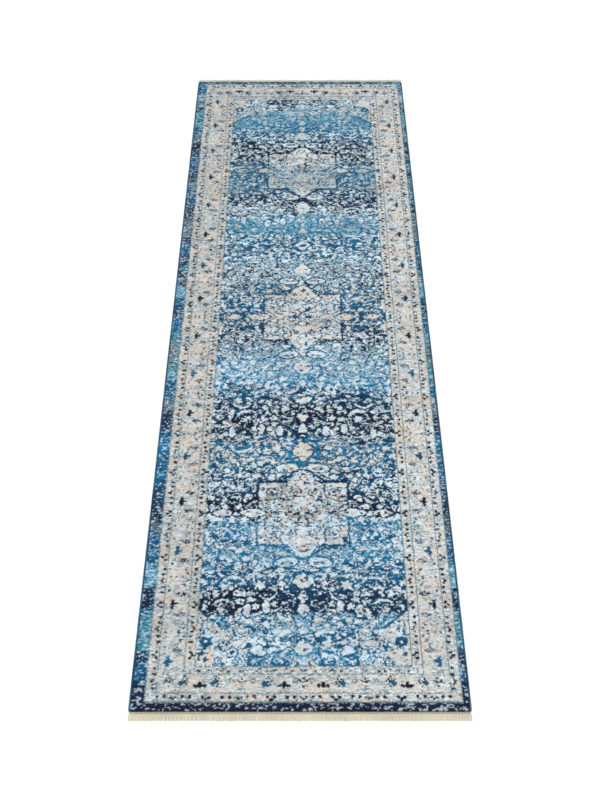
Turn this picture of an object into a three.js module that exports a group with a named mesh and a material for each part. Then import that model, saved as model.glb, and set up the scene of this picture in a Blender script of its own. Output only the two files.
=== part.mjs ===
// Runner rug: a long, low-pile woven hall rug with serged sides and a short fringe at each end.
//
// Millimetres, +Z up. The rug lies flat on z = 0 with its length along Y and its width along X, and the
// origin is the middle of its underside. The near end is at -Y and the far end at +Y.
//
// From the floor up the rug is a back coating, the woven ground cloth and the cut pile. Along each side
// an overlocked serging wraps the edge of the ground cloth and a selvedge cord. At each end the ground
// cloth shows as a narrow flat heading past the pile, with a tape under it, a lockstitch seam through
// both and the fringe hanging from its outer edge. A bar tack closes each end of each serging.

import * as THREE from "three";

// Overall sizes
const RUG_WIDTH = 800; // over the two sergings
const PILE_LENGTH = 3000; // the patterned face, from end to end
const HEADING = 4; // flat ground cloth that shows past the pile at each end
const FRINGE_REACH = 20; // from the edge of the heading to the tips of the fringe

// Layers, from the floor up
const GAP = 0.3; // clearance between pieces that touch
const COATING_THICKNESS = 1.2;
const GROUND_THICKNESS = 1.4;
const PILE_HEIGHT = 4.8;
const GROUND_BOTTOM = COATING_THICKNESS + GAP;
const GROUND_TOP = GROUND_BOTTOM + GROUND_THICKNESS;
const GROUND_MIDDLE = (GROUND_BOTTOM + GROUND_TOP) / 2;
const PILE_BOTTOM = GROUND_TOP + GAP;

// Serged sides
const SERGING_WIDTH = 5.2;
const SERGING_HEIGHT = 6;
const SERGING_CORNER = 2.2; // radius of the two outer corners
const CORNER_STEPS = 3; // straight steps in each rounded corner
const POCKET_CHAMFER = 0.7; // cut from the two outer corners of the cord's pocket
const CORD_RADIUS = 1.1;
const CORD_SIDES = 12;
const CORD_WALL = 0.9; // serging yarn outside the cord
const TACK_LENGTH = 6;

// Ends
const TAPE_WIDTH = 26;
const SEAM_THREAD = 0.5; // width and height of a lockstitch thread
const UNDER_THREAD = 0.35; // height of the bobbin thread, which lies under the tape
const SEAM_INSET = 2; // from the outer edge of the heading to the seam

// Fringe
const STRAND_COUNT = 100; // bundles along one end
const STRAND_SHARE = 0.75; // how much of the pitch each bundle fills
const STRAND_THICKNESS = 1.2;
const FRINGE_HEADER = 1.5; // the twined edge that the bundles hang from
const HINGE_OFFSET = 1.3; // from the edge of the heading to the line that the fringe turns about

const halfWidth = RUG_WIDTH / 2;
const sergingInner = halfWidth - SERGING_WIDTH;
const groundEnd = PILE_LENGTH / 2 + HEADING;
const faceWidth = 2 * (sergingInner - GAP); // the pile, the coating and the tapes between the sergings

const yarns = {
  pile: { color: 0x5d7f9b, roughness: 0.95 },
  ground: { color: 0xcfc6ad, roughness: 0.9 },
  coating: { color: 0xd9d2bd, roughness: 0.8 },
  serging: { color: 0x3f6484, roughness: 0.9 },
  cord: { color: 0xe0dac6, roughness: 0.9 },
  tape: { color: 0xd6cdb2, roughness: 0.9 },
  fringe: { color: 0xd8d0b4, roughness: 0.9 },
  thread: { color: 0xe6e0cf, roughness: 0.7 },
};

const rug = new THREE.Group();

// A group turned about the vertical through the rug's middle, for what is the same at both ends or sides.
function turnedGroup(turn) {
  const group = new THREE.Group();
  group.rotation.z = turn;
  rug.add(group);
  return group;
}

function addPiece(parent, name, geometry, yarn) {
  const mesh = new THREE.Mesh(geometry, new THREE.MeshStandardMaterial({ ...yarns[yarn], metalness: 0 }));
  mesh.name = name;
  parent.add(mesh);
  return mesh;
}

// A flat layer from y = start to y = end, centred on x = 0.
function addLayer(parent, name, yarn, { width, start, end, bottom, thickness }) {
  const layer = addPiece(parent, name, new THREE.BoxGeometry(width, end - start, thickness), yarn);
  layer.position.set(0, (start + end) / 2, bottom + thickness / 2);
  return layer;
}

// ---- The three full-size layers ----

function addMainLayers() {
  const coatingEnd = groundEnd - TAPE_WIDTH - GAP;
  addLayer(rug, "back_coating", "coating", {
    width: faceWidth,
    start: -coatingEnd,
    end: coatingEnd,
    bottom: 0,
    thickness: COATING_THICKNESS,
  });
  addLayer(rug, "ground_cloth", "ground", {
    width: RUG_WIDTH - 2 * (CORD_WALL + 2 * CORD_RADIUS + 2 * GAP),
    start: -groundEnd,
    end: groundEnd,
    bottom: GROUND_BOTTOM,
    thickness: GROUND_THICKNESS,
  });
  addLayer(rug, "pile", "pile", {
    width: faceWidth,
    start: -PILE_LENGTH / 2,
    end: PILE_LENGTH / 2,
    bottom: PILE_BOTTOM,
    thickness: PILE_HEIGHT,
  });
}

// ---- Sides: serging, cord and bar tacks, drawn on the +X side ----

// The serging's section, across and up: a rounded wrap with a slot on its inner side, which takes the
// edge of the ground cloth, and a wider pocket at the end of the slot, which takes the cord.
function sergingSection() {
  const slotBottom = GROUND_BOTTOM - GAP;
  const slotTop = GROUND_TOP + GAP;
  const pocketOuter = halfWidth - CORD_WALL;
  const pocketInner = pocketOuter - 2 * (CORD_RADIUS + GAP);
  const pocketBottom = GROUND_MIDDLE - CORD_RADIUS - GAP;
  const pocketTop = GROUND_MIDDLE + CORD_RADIUS + GAP;
  const corners = [
    { centreHeight: SERGING_CORNER, startAngle: -Math.PI / 2 },
    { centreHeight: SERGING_HEIGHT - SERGING_CORNER, startAngle: 0 },
  ];

  const section = new THREE.Shape();
  section.moveTo(sergingInner, 0);
  for (const { centreHeight, startAngle } of corners) {
    for (let step = 0; step <= CORNER_STEPS; step += 1) {
      const angle = startAngle + (step / CORNER_STEPS) * (Math.PI / 2);
      const across = halfWidth - SERGING_CORNER + SERGING_CORNER * Math.cos(angle);
      section.lineTo(across, centreHeight + SERGING_CORNER * Math.sin(angle));
    }
  }
  section.lineTo(sergingInner, SERGING_HEIGHT);
  section.lineTo(sergingInner, slotTop);
  section.lineTo(pocketInner, slotTop);
  section.lineTo(pocketInner, pocketTop);
  section.lineTo(pocketOuter - POCKET_CHAMFER, pocketTop);
  section.lineTo(pocketOuter, pocketTop - POCKET_CHAMFER);
  section.lineTo(pocketOuter, pocketBottom + POCKET_CHAMFER);
  section.lineTo(pocketOuter - POCKET_CHAMFER, pocketBottom);
  section.lineTo(pocketInner, pocketBottom);
  section.lineTo(pocketInner, slotBottom);
  section.lineTo(sergingInner, slotBottom);
  section.closePath();
  return section;
}

function addSide(side, turn) {
  const parent = turnedGroup(turn);
  const sideLength = PILE_LENGTH - 2 * (TACK_LENGTH + GAP);

  const serging = new THREE.ExtrudeGeometry(sergingSection(), { depth: sideLength, bevelEnabled: false });
  serging.rotateX(Math.PI / 2);
  serging.translate(0, sideLength / 2, 0);
  addPiece(parent, `serging_${side}`, serging, "serging");

  const cord = new THREE.CylinderGeometry(CORD_RADIUS, CORD_RADIUS, sideLength, CORD_SIDES);
  const cordPiece = addPiece(parent, `selvedge_cord_${side}`, cord, "cord");
  cordPiece.position.set(halfWidth - CORD_WALL - GAP - CORD_RADIUS, 0, GROUND_MIDDLE);

  const tackWidth = SERGING_WIDTH - CORD_WALL;
  const tackHeight = SERGING_HEIGHT - PILE_BOTTOM;
  const towardsFar = Math.cos(turn); // 1, or -1 in the group that is turned half round
  for (const [end, direction] of [["near", -towardsFar], ["far", towardsFar]]) {
    const tack = new THREE.BoxGeometry(tackWidth, TACK_LENGTH, tackHeight);
    const tackPiece = addPiece(parent, `corner_tack_${end}_${side}`, tack, "serging");
    tackPiece.position.set(
      sergingInner + tackWidth / 2,
      (direction * (PILE_LENGTH - TACK_LENGTH)) / 2,
      PILE_BOTTOM + tackHeight / 2,
    );
  }
}

// ---- Ends: tape, seam and fringe, drawn on the near end ----

// The fringe as one comb: the twined header with every strand bundle hanging from it. The header is
// centred on the hinge line, which is drawn on y = 0, and the bundles point along -Y.
function fringeGeometry() {
  const inner = STRAND_THICKNESS / 2;
  const tips = HINGE_OFFSET - FRINGE_REACH;
  const width = RUG_WIDTH - 2 * CORD_WALL;
  const pitch = width / STRAND_COUNT;
  const strand = pitch * STRAND_SHARE;
  const comb = new THREE.Shape();
  comb.moveTo(width / 2, inner);
  comb.lineTo(-width / 2, inner);
  for (let index = 0; index < STRAND_COUNT; index += 1) {
    const left = -width / 2 + index * pitch + (pitch - strand) / 2;
    comb.lineTo(left, inner - FRINGE_HEADER);
    comb.lineTo(left, tips);
    comb.lineTo(left + strand, tips);
    comb.lineTo(left + strand, inner - FRINGE_HEADER);
  }
  comb.closePath();
  const geometry = new THREE.ExtrudeGeometry(comb, { depth: STRAND_THICKNESS, bevelEnabled: false });
  geometry.translate(0, 0, -STRAND_THICKNESS / 2);
  return geometry;
}

function addEnd(end, turn) {
  const parent = turnedGroup(turn);
  const tapeBottom = UNDER_THREAD + GAP;
  const seamStart = -groundEnd + SEAM_INSET - SEAM_THREAD / 2;
  const seam = { width: faceWidth, start: seamStart, end: seamStart + SEAM_THREAD };
  const topThread = { ...seam, bottom: GROUND_TOP + GAP, thickness: SEAM_THREAD };
  const underThread = { ...seam, bottom: 0, thickness: UNDER_THREAD };
  addLayer(parent, `heading_tape_${end}`, "tape", {
    width: faceWidth,
    start: -groundEnd,
    end: TAPE_WIDTH - groundEnd,
    bottom: tapeBottom,
    thickness: COATING_THICKNESS - tapeBottom,
  });
  addLayer(parent, `top_stitch_${end}`, "thread", topThread);
  addLayer(parent, `under_stitch_${end}`, "thread", underThread);
  const fringe = addPiece(parent, `fringe_${end}`, fringeGeometry(), "fringe");
  fringe.position.set(0, -groundEnd - HINGE_OFFSET, GROUND_MIDDLE);
}

addMainLayers();
addSide("right", 0);
addSide("left", Math.PI);
addEnd("near", 0);
addEnd("far", Math.PI);

export default rug;
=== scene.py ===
"""Runner rug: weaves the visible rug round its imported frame.

The rug lies flat, with its length along Y. The pile is woven knot by knot from a drawing of a quarter of
the pattern, which is turned over for the other three quarters, and each band of rows takes its yarns from
a different dye lot. Under it are the ground cloth, the back coating and the heading tapes, along the sides
the sergings round their cords, and at the ends the seams and the fringes.
"""

import math

import bpy
import numpy as np
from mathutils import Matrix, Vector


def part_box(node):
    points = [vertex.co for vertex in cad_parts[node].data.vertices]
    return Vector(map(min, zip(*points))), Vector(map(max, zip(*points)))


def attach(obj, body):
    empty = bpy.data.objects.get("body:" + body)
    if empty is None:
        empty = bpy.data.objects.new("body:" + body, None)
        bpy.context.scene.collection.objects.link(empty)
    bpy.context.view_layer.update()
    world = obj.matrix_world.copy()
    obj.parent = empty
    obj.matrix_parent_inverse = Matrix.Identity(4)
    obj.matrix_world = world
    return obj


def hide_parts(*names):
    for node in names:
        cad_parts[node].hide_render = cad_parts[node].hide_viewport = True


bl_info = {
    "name": "Runner Rug",
    "version": (1, 0, 0),
    "blender": (4, 5, 0),
    "location": "3D View > Sidebar > Rug",
    "description": "Weaves a runner rug with serged sides and fringed ends round its packed frame",
    "category": "Mesh",
}

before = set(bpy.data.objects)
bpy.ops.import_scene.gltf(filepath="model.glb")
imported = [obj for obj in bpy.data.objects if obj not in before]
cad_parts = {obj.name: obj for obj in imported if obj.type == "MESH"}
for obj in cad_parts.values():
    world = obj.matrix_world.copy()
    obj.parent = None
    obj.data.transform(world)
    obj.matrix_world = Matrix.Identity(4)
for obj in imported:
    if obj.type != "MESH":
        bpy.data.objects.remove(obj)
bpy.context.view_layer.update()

MM = 0.001
ENDS = {"near": -1.0, "far": 1.0}  # the way along Y from the middle to each end
SIDES = ("left", "right")
ROOT_BODY = "rug"


# ---------------------------------------------------------------------------------------------------
# Settings
# ---------------------------------------------------------------------------------------------------


def yarn_colour(name, description, red, green, blue):
    """A colour setting, as it would be matched to a yarn card: sRGB from 0 to 255."""
    return bpy.props.FloatVectorProperty(
        name=name,
        description=description,
        subtype="COLOR_GAMMA",
        size=3,
        min=0.0,
        max=1.0,
        default=(red / 255, green / 255, blue / 255),
    )


def length(name, description, millimetres):
    """A length setting, given in millimetres and kept in metres."""
    return bpy.props.FloatProperty(
        name=name, description=description, default=millimetres * MM, min=0.0, unit="LENGTH", precision=4
    )


class RugYarnSettings(bpy.types.PropertyGroup):
    """The yarn card: every colour that the loom is threaded with."""

    ink: yarn_colour("Ink", "Darkest navy, in the heaviest dye bands", 2, 17, 44)
    navy: yarn_colour("Navy", "Navy of outlines and of the dark bands", 4, 36, 66)
    deep: yarn_colour("Deep blue", "Blue between navy and mid blue", 6, 66, 98)
    mid: yarn_colour("Mid blue", "Main blue of the field", 16, 98, 138)
    bright: yarn_colour("Bright blue", "Clearest blue of the field", 12, 110, 154)
    sky: yarn_colour("Sky blue", "Faded light blue", 98, 160, 186)
    teal: yarn_colour("Teal", "Greenish faded blue", 70, 140, 160)
    mist: yarn_colour("Mist", "Grey blue of the palest bands", 140, 171, 183)
    slate: yarn_colour("Slate", "Grey blue of the thin guard lines", 98, 120, 128)
    ivory: yarn_colour("Ivory", "Ground of the borders", 180, 181, 179)
    ice: yarn_colour("Ice", "Cool white of the light flowers", 199, 217, 227)
    cream: yarn_colour("Cream", "Warm white of the light flowers", 203, 206, 200)
    peach: yarn_colour("Peach", "Warm hearts of the flowers", 210, 190, 170)
    sand: yarn_colour("Sand", "Greyed beige of worn places", 140, 150, 154)
    fringe: yarn_colour("Fringe", "Unbleached cotton of the fringes", 224, 216, 190)
    cotton: yarn_colour("Cotton", "Cotton of the ground cloth and the cords", 205, 198, 178)
    latex: yarn_colour("Latex", "Back coating", 196, 186, 162)
    thread: yarn_colour("Thread", "Sewing thread", 232, 226, 208)


class RugPatternSettings(bpy.types.PropertyGroup):
    """Sizes of the pattern."""

    knot: length("Knot", "Spacing of the knots across and along", 2.5)
    shift: length("Pattern shift", "How far the pattern sits off the middle, towards the right", 8.0)
    far_shift: length("Pattern lead", "How far the pattern's middle sits towards the near end", 10.0)
    relief: length("Pile relief", "Unevenness of the shorn pile", 0.45)
    seed: bpy.props.IntProperty(name="Seed", description="Start of every random draw", default=11, min=0)


class RugMakingSettings(bpy.types.PropertyGroup):
    """Sizes of the edges and of the fringe."""

    wrap_pitch: length("Wrap pitch", "Spacing of the serging's turns of yarn", 2.4)
    strand_pitch: length("Strand pitch", "Spacing of the fringe's strands", 3.1)
    strand_width: length("Strand width", "Thickness of a fringe strand", 2.2)
    strand_arch: length("Strand arch", "How high the strands spring up from the floor", 1.1)
    far_extra: length("Far strands", "How much longer the strands are at the far end", 4.0)
    stitch: length("Stitch", "Length of one lockstitch of the end seams", 3.4)
    cord_twist: length("Cord twist", "Length of one full turn of the selvedge cord", 9.0)
    weave: length("Weave", "Spacing of the warp threads in the ground cloth", 1.9)


def yarn(name):
    """A yarn's colour in linear light."""
    srgb = np.array(getattr(bpy.context.scene.rug_yarns, name)[:3], float)
    return np.where(srgb <= 0.04045, srgb / 12.92, ((srgb + 0.055) / 1.055) ** 2.4)


# ---------------------------------------------------------------------------------------------------
# The drawing: a quarter of the pattern on squared paper, in millimetres from the rug's middle
# ---------------------------------------------------------------------------------------------------

FIELD, IVORY, BAND, LIGHT, DARK, WARM, BLUE, LINE, CLEAR = range(9)

FIELD_HALF = (259.5, 1361.0)
# Half width and half length of each frame of the border, from the outside in, and what fills it
BORDER_FRAMES = [
    ((374.0, 1467.5), LINE),
    ((370.0, 1464.0), IVORY),
    ((347.5, 1442.0), LINE),
    ((345.0, 1439.5), IVORY),
    ((286.0, 1386.0), LINE),
    ((283.5, 1383.5), IVORY),
    ((262.0, 1363.5), LINE),
    (FIELD_HALF, FIELD),
]
OUTER_STRIP = (357.0, 1454.0)
INNER_STRIP = (271.0, 1374.0)
SIDE_REPEAT = 179.0
FIRST_FLEUR = 94.0
TICK_REPEAT = (158.0, 153.0)
MEDALLIONS = (0.0, 852.0)
# The far border is beaten up less tightly, so the drawing is stretched there
FAR_BORDER_START = 1360.0
FAR_BORDER_STRETCH = 0.83
MEDALLION_HALF = (118.0, 114.0)
MEDALLION_TIP = 156.0


def cloud(draw, rows, columns, row_cell, column_cell):
    """Smooth noise from 0 to 1, whose features are about that many rows and columns across."""

    def weights(count, cell):
        at = np.arange(count) / cell + draw.random()
        low = np.floor(at).astype(int)
        part = at - low
        return low, part * part * (3 - 2 * part)

    low_row, part_row = weights(rows, row_cell)
    low_column, part_column = weights(columns, column_cell)
    grid = draw.random((low_row.max() + 2, low_column.max() + 2))
    top = grid[low_row][:, low_column] * (1 - part_column) + grid[low_row][:, low_column + 1] * part_column
    next_row = grid[low_row + 1]
    bottom = next_row[:, low_column] * (1 - part_column) + next_row[:, low_column + 1] * part_column
    return top * (1 - part_row[:, None]) + bottom * part_row[:, None]


class Paper:
    """Squared paper for a quarter of the pattern: a square for each knot, which holds the yarn's role."""

    def __init__(self, half_width, half_length, knot):
        self.knot = knot
        self.u = np.arange(0.0, half_width + knot, knot)
        self.w = np.arange(0.0, half_length + knot, knot)
        self.role = np.full((len(self.w), len(self.u)), BAND, np.uint8)

    def window(self, u, w, reach):
        """The squares within reach of a point: their slice, and their places from it."""
        columns = slice(*np.searchsorted(self.u, (u - reach, u + reach)))
        rows = slice(*np.searchsorted(self.w, (w - reach, w + reach)))
        return (rows, columns), self.u[None, columns] - u, self.w[rows, None] - w

    def fill(self, squares, inside, role):
        """Gives the squares inside a shape their yarn."""
        view = self.role[squares]
        view[np.broadcast_to(inside, view.shape)] = role

    def clear(self, squares, inside):
        """Wipes small leaves off the ground round a large motif. Borders and medallions stay."""
        view = self.role[squares]
        view[np.broadcast_to(inside, view.shape) & np.isin(view, (LIGHT, DARK, WARM))] = CLEAR

    def frame(self, half, role):
        """Fills the paper up to a half width and half length."""
        rows = self.w < half[1]
        columns = self.u < half[0]
        self.role[np.ix_(rows, columns)] = role

    def oval(self, u, w, across, along, role, turn=0.0):
        squares, du, dw = self.window(u, w, max(across, along) + self.knot)
        c, s = math.cos(turn), math.sin(turn)
        a, b = du * c + dw * s, dw * c - du * s
        self.fill(squares, (a / across) ** 2 + (b / along) ** 2 < 1.0, role)

    def dot(self, u, w, radius, role):
        self.oval(u, w, radius, radius, role)

    def diamond(self, u, w, across, along, role, bulge=1.0):
        squares, du, dw = self.window(u, w, max(across, along) + self.knot)
        inside = (np.abs(du) / across) ** bulge + (np.abs(dw) / along) ** bulge < 1.0
        self.fill(squares, inside, role)

    def stroke(self, points, width, role):
        """A line of one yarn through the points."""
        for (u0, w0), (u1, w1) in zip(points, points[1:]):
            steps = max(2, int(math.hypot(u1 - u0, w1 - w0) / (0.5 * self.knot)) + 1)
            for t in np.linspace(0.0, 1.0, steps):
                self.dot(u0 + (u1 - u0) * t, w0 + (w1 - w0) * t, width / 2, role)

    def arc(self, u, w, radius, start, end, width, role):
        """A scroll: an arc of a circle that is thickest in its middle. Angles are in degrees."""
        count = max(6, int(abs(end - start) / 12))
        for step in range(count + 1):
            share = step / count
            angle = math.radians(start + (end - start) * share)
            thickness = width * (0.35 + 0.65 * math.sin(math.pi * share))
            place = (u + radius * math.cos(angle), w + radius * math.sin(angle))
            self.dot(*place, max(thickness / 2, 0.55 * self.knot), role)

    def flower(self, u, w, radius, petals, petal_role=LIGHT, heart_role=WARM, halo=0.0):
        """A rosette: an outline, a ring of petals and a heart, on ground wiped bare up to the halo."""
        turn = 0.3  # so that no petal lies along a row of knots
        squares, du, dw = self.window(u, w, radius + 5.0 + halo)
        away = np.hypot(du, dw)
        edge = radius * (0.8 + 0.2 * np.cos(petals * (np.arctan2(dw, du) + turn)))
        self.clear(squares, away < radius + halo)
        self.fill(squares, away < edge + 1.5 * self.knot, DARK)
        self.fill(squares, away < edge, petal_role)
        self.fill(squares, away < 0.36 * radius, heart_role)

    def palmette(self, u, w, across, along, heart_role, point):
        """A fan-shaped flower on the paper's long line. point is 1 if its tip is away from the middle."""
        halo = 9.0
        reach = max(across, along) + 6.0 + halo
        squares, du, dw = self.window(u, w, reach)
        t = dw * point / along
        fan = np.clip(1.0 - np.abs(t) ** 1.6, 0.0, None) * (0.72 - 0.34 * t)
        teeth = 0.10 * np.cos(t * 11.0)
        half = across * np.clip(fan * (1.25 + teeth), 0.0, None)
        inside = (np.abs(t) < 1.0) & (np.abs(du) < half)
        self.clear(squares, (du / (across + halo)) ** 2 + (dw / (along + halo)) ** 2 < 1.0)
        outline = (np.abs(t) < 1.0 + 3.0 / along) & (np.abs(du) < half + 1.6 * self.knot)
        self.fill(squares, outline, DARK)
        self.fill(squares, inside, LIGHT)
        self.fill(squares, (np.abs(t + 0.15) < 0.62) & (np.abs(du) < half * 0.66), heart_role)

    def leaf(self, u, w, size, turn):
        """A light leaf in a dark outline."""
        slimness = 0.42
        outline = 1.4 * self.knot
        self.oval(u, w, size + outline, slimness * size + outline, DARK, turn)
        self.oval(u, w, size, slimness * size, LIGHT, turn)


def ticks(paper, strip, repeat, last, along_side, inward, start):
    """A guard strip's row: a V of three beads, a bead, a low arch between two beads, a bead, and again."""
    beads = {
        0: [(0.0, 4.5, 4.7), (-8.0, -2.5, 4.7), (8.0, -2.5, 4.7)],
        1: [(0.0, -3.0, 4.6)],
        2: [(0.0, 3.0, 3.6), (-6.5, -1.0, 3.4), (6.5, -1.0, 3.4), (-21.0, -3.0, 4.5), (21.0, -3.0, 4.5)],
        3: [(0.0, -3.0, 4.6)],
    }
    for step in range(int((last - start) / (repeat / 4)) + 1):
        along = start + step * repeat / 4
        for offset, outward, radius in beads[step % 4]:
            place = (strip + outward * inward, along + offset)
            paper.dot(*(place if along_side else place[::-1]), radius, DARK)


def fleur(paper, u, w, along_side, role):
    """The border's small cross: three beads in a row, one on the inner side and a stalk."""
    beads = [(-10.5, 0.0, 5.0), (0.0, 0.0, 6.2), (10.5, 0.0, 5.0), (0.0, -8.5, 4.6), (3.5, 5.0, 3.2)]
    for along, outward, radius in beads:
        place = (u + outward, w + along) if along_side else (u + along, w + outward)
        paper.dot(*place, radius, role)


def leaf_of_beads(paper, u, w, across, along, role, point):
    """A leaf drawn as a cluster of small dark beads along its veins."""
    for du, dw, radius in (
        (0.0, 1.0, 2.8),
        (-0.5, 0.55, 2.9),
        (0.45, 0.5, 2.9),
        (-0.9, 0.1, 2.5),
        (0.0, 0.1, 3.0),
        (0.9, 0.05, 2.6),
        (-0.4, -0.4, 2.7),
        (0.5, -0.45, 2.7),
        (0.1, -0.95, 2.6),
    ):
        paper.dot(u + du * across, w + dw * along * point, radius, role)


def draw_side_border(paper):
    """Crosses, warm rosettes, leaves of beads and a vine along the side."""
    middle = 315.0
    for phase, swing in ((0.0, 19.0), (math.pi, 13.0)):
        wave = [
            (middle + swing * math.sin(2 * math.pi * (w - FIRST_FLEUR) / SIDE_REPEAT + phase), w)
            for w in np.arange(-10.0, 1400.0, 3.0)
        ]
        paper.stroke(wave, 2.4, WARM if phase else LINE)
    for step in range(9):
        w = FIRST_FLEUR + step * SIDE_REPEAT
        dark = DARK if step % 2 == 0 else BLUE
        if w < 1370.0:
            paper.oval(301.0, w, 11.5, 13.0, WARM)
            paper.oval(301.0, w, 5.0, 6.0, IVORY)
            paper.oval(326.0, w, 11.0, 17.0, IVORY)
            fleur(paper, 326.0, w, True, dark)
        mid_way = w - SIDE_REPEAT / 2
        if not 0 < mid_way < 1340:
            continue
        paper.oval(320.0, mid_way, 15.0, 22.0, WARM)
        paper.oval(313.0, mid_way, 8.0, 10.0, IVORY)
        for u, radius in ((336.0, 3.2), (323.0, 2.6)):
            paper.dot(u, mid_way, radius, dark)
        for side in (-1, 1):
            leaf_of_beads(paper, 305.0, mid_way + side * 55, 13.0, 7.0, dark, side)
            paper.oval(334.0, mid_way + side * 42, 6.0, 13.0, WARM)
            paper.dot(336.0, mid_way + side * 46, 3.5, DARK)
            paper.oval(296.0, mid_way + side * 36, 8.0, 7.0, WARM)
            specks = ((300.0, 24.0, 3.4), (293.0, 12.0, 3.2), (305.0, 4.0, 3.0), (297.0, 31.0, 2.4))
            for u, away, radius in specks:
                paper.dot(u, mid_way + side * away, radius, dark)


def draw_end_border(paper):
    """Crosses, leaves of beads, rings and arches across the end."""
    for u in (20.0, 72.0, 118.0, 172.0, 222.0, 268.0, 322.0):
        paper.diamond(u, 1427, 17.0, 12.0, WARM)
        paper.diamond(u + 24, 1400, 11.0, 9.0, WARM)
    for u in (46.0, 245.0):
        paper.oval(u, 1418.0, 17.0, 11.0, IVORY)
        fleur(paper, u, 1419.0, False, DARK)
    for u in (84.0, 205.0, 281.0):
        leaf_of_beads(paper, u, 1405.0, 9.0, 15.0, DARK, 1.0)
        leaf_of_beads(paper, u + 9, 1412.0, 6.0, 8.0, BLUE, -1.0)
    for u in (146.0, 0.0, 318.0):
        paper.stroke([(u - 9, 1404), (u, 1409), (u + 9, 1404)], 5.0, DARK)
        paper.dot(u, 1399, 3.4, DARK)
        paper.dot(u, 1421, 3.0, DARK)
    for u in (20.0, 120.0, 173.0):
        paper.dot(u, 1404, 7.0, LINE)
        paper.dot(u, 1404, 3.6, IVORY)


def draw_end_strip(paper):
    """The chevrons and beads of the inner strip across the end."""
    middle = INNER_STRIP[1]
    for u, point in ((0.0, 1.0), (69.0, -1.0), (146.0, 1.0), (223.0, -1.0)):
        foot = middle - 4 * point
        for away in (0.0, 6.0):
            tip = middle + 4 * point - away * point / 2
            paper.stroke([(u - 9, foot), (u, tip), (u + 9, foot)], 2.6, BLUE)
    for u in (28.0, 90.0, 112.0, 180.0, 195.0, 250.0):
        paper.dot(u, middle + 2, 3.2, DARK)
        paper.dot(u + 12.0, middle - 4, 2.6, BLUE)


def draw_tracery(paper, draw, role, line_role, thickness):
    """Fine curling outlines of leaves over a pale ground: the contour lines of a smooth noise."""
    rows, columns = paper.role.shape
    level = np.abs(cloud(draw, rows, columns, 3.6, 3.4) - 0.5)
    paper.role[(paper.role == role) & (level < thickness)] = line_role


def draw_borders(paper):
    ticks(paper, OUTER_STRIP[0], TICK_REPEAT[0], 1440.0, True, 1.0, 64.0 - TICK_REPEAT[0])
    ticks(paper, OUTER_STRIP[1], TICK_REPEAT[1], 345.0, False, 1.0, 76.5 - TICK_REPEAT[1])
    ticks(paper, INNER_STRIP[0], TICK_REPEAT[0], 1350.0, True, -1.0, 64.0 - TICK_REPEAT[0])
    draw_end_strip(paper)
    draw_side_border(paper)
    draw_end_border(paper)


def in_medallion(u, w, margin):
    """True near a medallion, its tips and the cartouches beside it."""
    for middle in MEDALLIONS:
        away = abs(w - middle)
        if u < MEDALLION_HALF[0] + margin and away < MEDALLION_HALF[1] + margin:
            return True
        if u < 40 and away < MEDALLION_TIP + margin:
            return True
        if u < 240 and away < 18 + margin:
            return True
    return False


def draw_filler(paper, draw):
    """The close ground of tiny leaves and petals: light specks ringed in dark yarn."""
    rows, columns = paper.role.shape
    speck = cloud(draw, rows, columns, 3.7, 3.9)
    crowding = 0.16 * (cloud(draw, rows, columns, 22, 16) - 0.5)
    field = paper.role == FIELD
    paper.role[field & (speck + crowding > 0.515)] = DARK
    paper.role[field & (speck + crowding > 0.575)] = LIGHT
    paper.role[field & (speck + crowding > 0.80)] = WARM
    paper.role[field & (speck < 0.24)] = DARK


def draw_vines(paper):
    """Thin stems that wander the length of the field."""
    stems = ((40, 30, 92, 0.4), (105, 42, 118, 2.0), (172, 38, 104, 4.1), (222, 24, 76, 1.1))
    for base, sweep, wave, start in stems:
        stem = [
            (base + sweep * math.sin(2 * math.pi * w / wave + start + 0.9 * math.sin(w / 140)), w)
            for w in np.arange(0.0, 1240.0, 3.0)
        ]
        paper.stroke(stem, 7.5, DARK)
        paper.stroke(stem, 2.6, LIGHT)


def draw_sprigs(paper, draw):
    """Small flowers, buds, leaves and hooks that fill the field between the main motifs."""
    placed = []
    tries = 3800
    across = draw.uniform(0, 256, tries)
    along = draw.uniform(0, 1360, tries)
    for u, w, kind, size in zip(across, along, draw.random(tries), draw.random(tries)):
        if in_medallion(u, w, 4.0):
            continue
        apart = 21.0 + 8.0 * size
        if any(abs(u - a) < apart and abs(w - b) < apart for a, b in placed):
            continue
        placed.append((u, w))
        turn = size * math.pi
        if kind < 0.44:
            paper.flower(u, w, 8.0 + 5.0 * size, 5, LIGHT, WARM if size > 0.4 else BLUE)
        elif kind < 0.62:
            paper.leaf(u, w, 9.0 + 4.0 * size, turn)
            paper.leaf(u + 6.0 * math.cos(turn + 1.2), w + 6.0 * math.sin(turn + 1.2), 6.5, turn + 1.1)
        elif kind < 0.82:
            start = 360 * size
            paper.arc(u, w, 8.0 + 3.0 * size, start, start + 210, 9.5, DARK)
            paper.arc(u, w, 8.0 + 3.0 * size, start, start + 210, 5.0, LIGHT)
        else:
            paper.dot(u, w, 8.5, DARK)
            paper.dot(u, w, 5.0, WARM)
            paper.dot(u + 8 * math.cos(turn), w + 8 * math.sin(turn), 4.4, LIGHT)


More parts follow.
